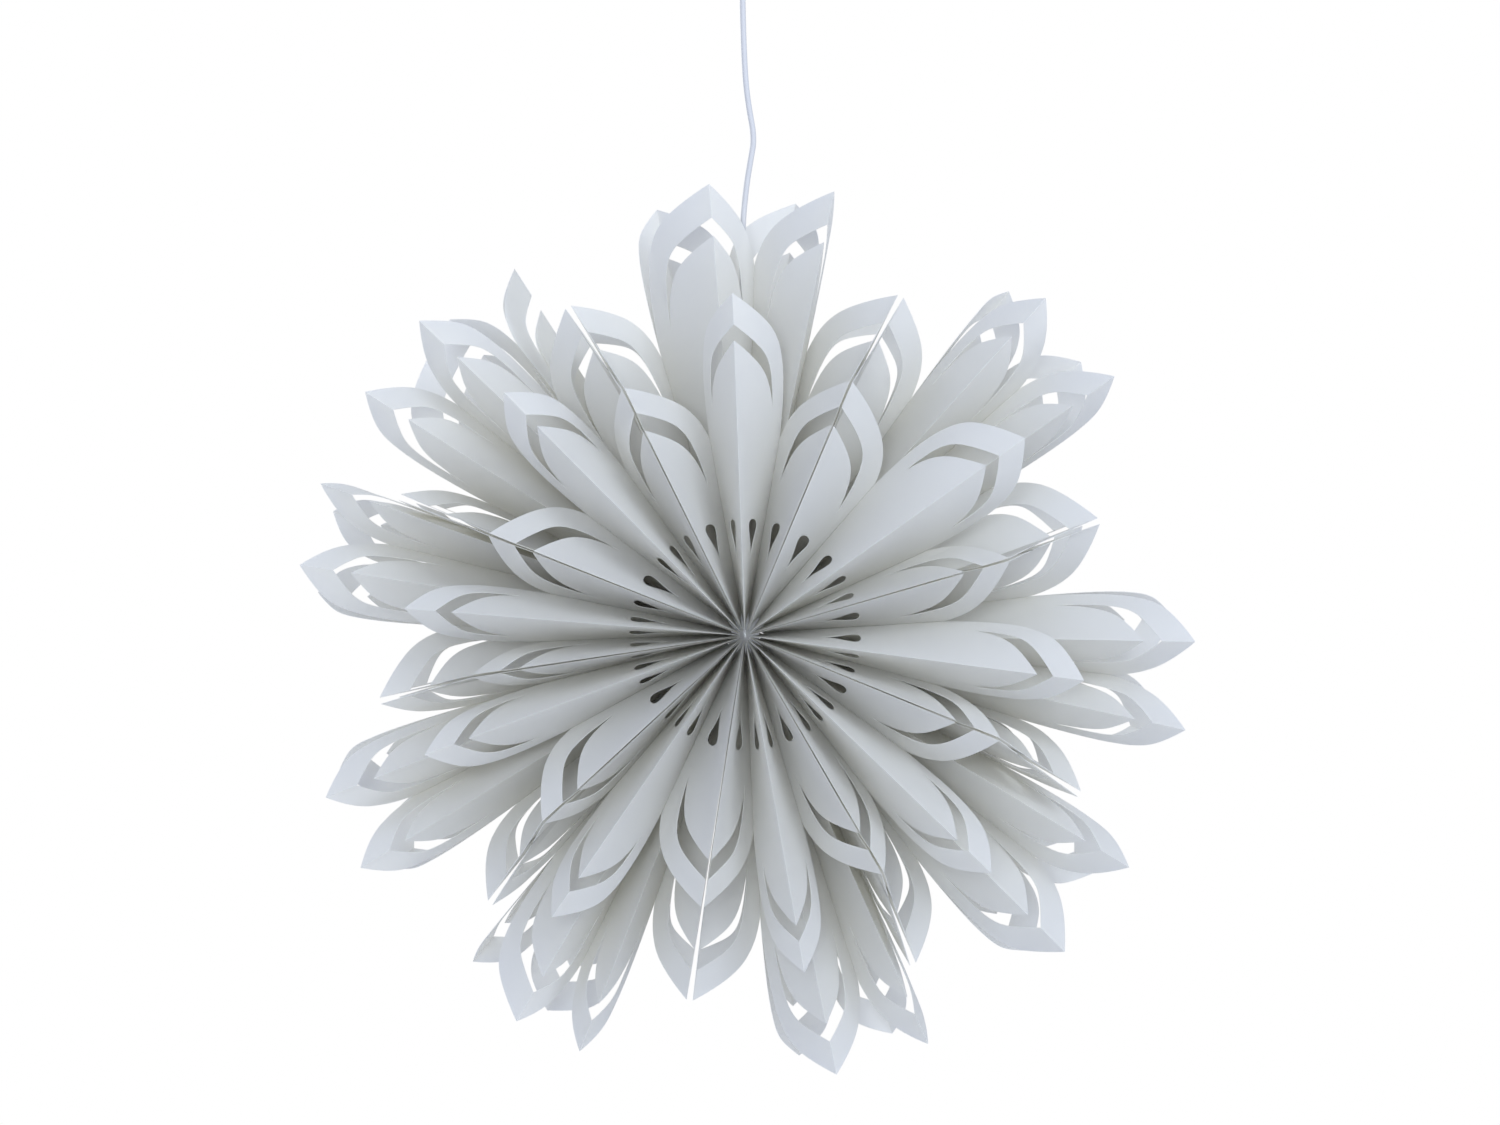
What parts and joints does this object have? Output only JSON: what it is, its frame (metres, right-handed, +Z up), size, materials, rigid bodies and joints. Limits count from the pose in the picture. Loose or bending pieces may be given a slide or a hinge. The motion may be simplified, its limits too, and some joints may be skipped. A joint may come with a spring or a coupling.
{
  "type": "folded paper star pendant",
  "caption": "Large many-pointed folded paper star shade, fanned open round a lampholder and hung on a flex from a plain ceiling cup.",
  "frame": {"origin": "middle of the ceiling cup's face, where the light meets the ceiling", "axes": "+Z up into the ceiling; the star's axis is parallel to Y and its front faces -Y; +X is to the right seen from the front"},
  "size_m": [0.7984, 0.295, 1.047],
  "materials": {
    "star_paper": "matt white paper, folded and cut",
    "cord": "smooth white sheath",
    "fitting_plastic": "moulded white plastic",
    "insulation": "pale insulating plastic",
    "insulator": "black glass",
    "steel": "zinc-plated sheet",
    "brass": "plain brass sheet",
    "lamp_metal": "nickel-bright cap",
    "opal_glass": "opal glass"
  },
  "bodies": {
    "ceiling_fitting": {"ceiling_bracket": "steel", "canopy_cup": "fitting_plastic", "canopy_screws": "fitting_plastic", "cord_grip": "fitting_plastic", "grip_nut": "fitting_plastic", "terminal_block": "insulation", "cord_top": "cord"},
    "swivel": {"bell_bush": "fitting_plastic"},
    "pendant": {"cord": "cord", "holder_gland": "fitting_plastic", "gland_nut": "fitting_plastic", "support_plate": "steel", "holder_cap": "fitting_plastic", "holder_shell": "fitting_plastic", "holder_insert": "insulation", "screw_shell": "brass", "contact_tongue": "brass", "front_outer_pleat_1": "star_paper", "front_outer_pleat_2": "star_paper", "front_outer_pleat_3": "star_paper", "front_outer_pleat_4": "star_paper", "front_outer_pleat_5": "star_paper", "front_outer_pleat_6": "star_paper", "front_outer_pleat_7": "star_paper", "front_outer_pleat_8": "star_paper", "front_outer_pleat_9": "star_paper", "front_inner_pleat_1": "star_paper", "front_inner_pleat_2": "star_paper", "front_inner_pleat_3": "star_paper", "front_inner_pleat_4": "star_paper", "front_inner_pleat_5": "star_paper", "front_inner_pleat_6": "star_paper", "front_inner_pleat_7": "star_paper", "front_inner_pleat_8": "star_paper", "front_inner_pleat_9": "star_paper", "back_outer_pleat_1": "star_paper", "back_outer_pleat_2": "star_paper", "back_outer_pleat_3": "star_paper", "back_outer_pleat_4": "star_paper", "back_outer_pleat_5": "star_paper", "back_outer_pleat_6": "star_paper", "back_outer_pleat_7": "star_paper", "back_outer_pleat_8": "star_paper", "back_outer_pleat_9": "star_paper", "back_inner_pleat_1": "star_paper", "back_inner_pleat_2": "star_paper", "back_inner_pleat_3": "star_paper", "back_inner_pleat_4": "star_paper", "back_inner_pleat_5": "star_paper", "back_inner_pleat_6": "star_paper", "back_inner_pleat_7": "star_paper", "back_inner_pleat_8": "star_paper", "back_inner_pleat_9": "star_paper"},
    "bulb_screw": {"bulb_contact": "lamp_metal"},
    "bulb": {"bulb_insulator": "insulator", "bulb_cap": "lamp_metal", "bulb_glass": "opal_glass"}
  },
  "joints": [
    {"name": "pendant_twist", "type": "hinge", "parent": "ceiling_fitting", "child": "swivel", "pos_m": [0, 0, -0.06], "axis": [0, 0, 1], "range_deg": [-180, 180]},
    {"name": "pendant_swing", "type": "hinge", "parent": "swivel", "child": "pendant", "pos_m": [0, 0, -0.06], "axis": [0, 1, 0], "range_deg": [-12, 12]},
    {"name": "bulb_travel", "type": "slide", "parent": "pendant", "child": "bulb_screw", "axis": [0, 0, -1], "range_m": [0, 0.014]},
    {"name": "bulb_turn", "type": "hinge", "parent": "bulb_screw", "child": "bulb", "pos_m": [0.0026, 0, -0.65], "axis": [0, 0, 1], "range_deg": [0, 1388.8]}
  ],
  "couplings": [
    {"joint": "bulb_travel", "follows": "bulb_turn", "m_per_rad": 0.00057757}
  ]
}
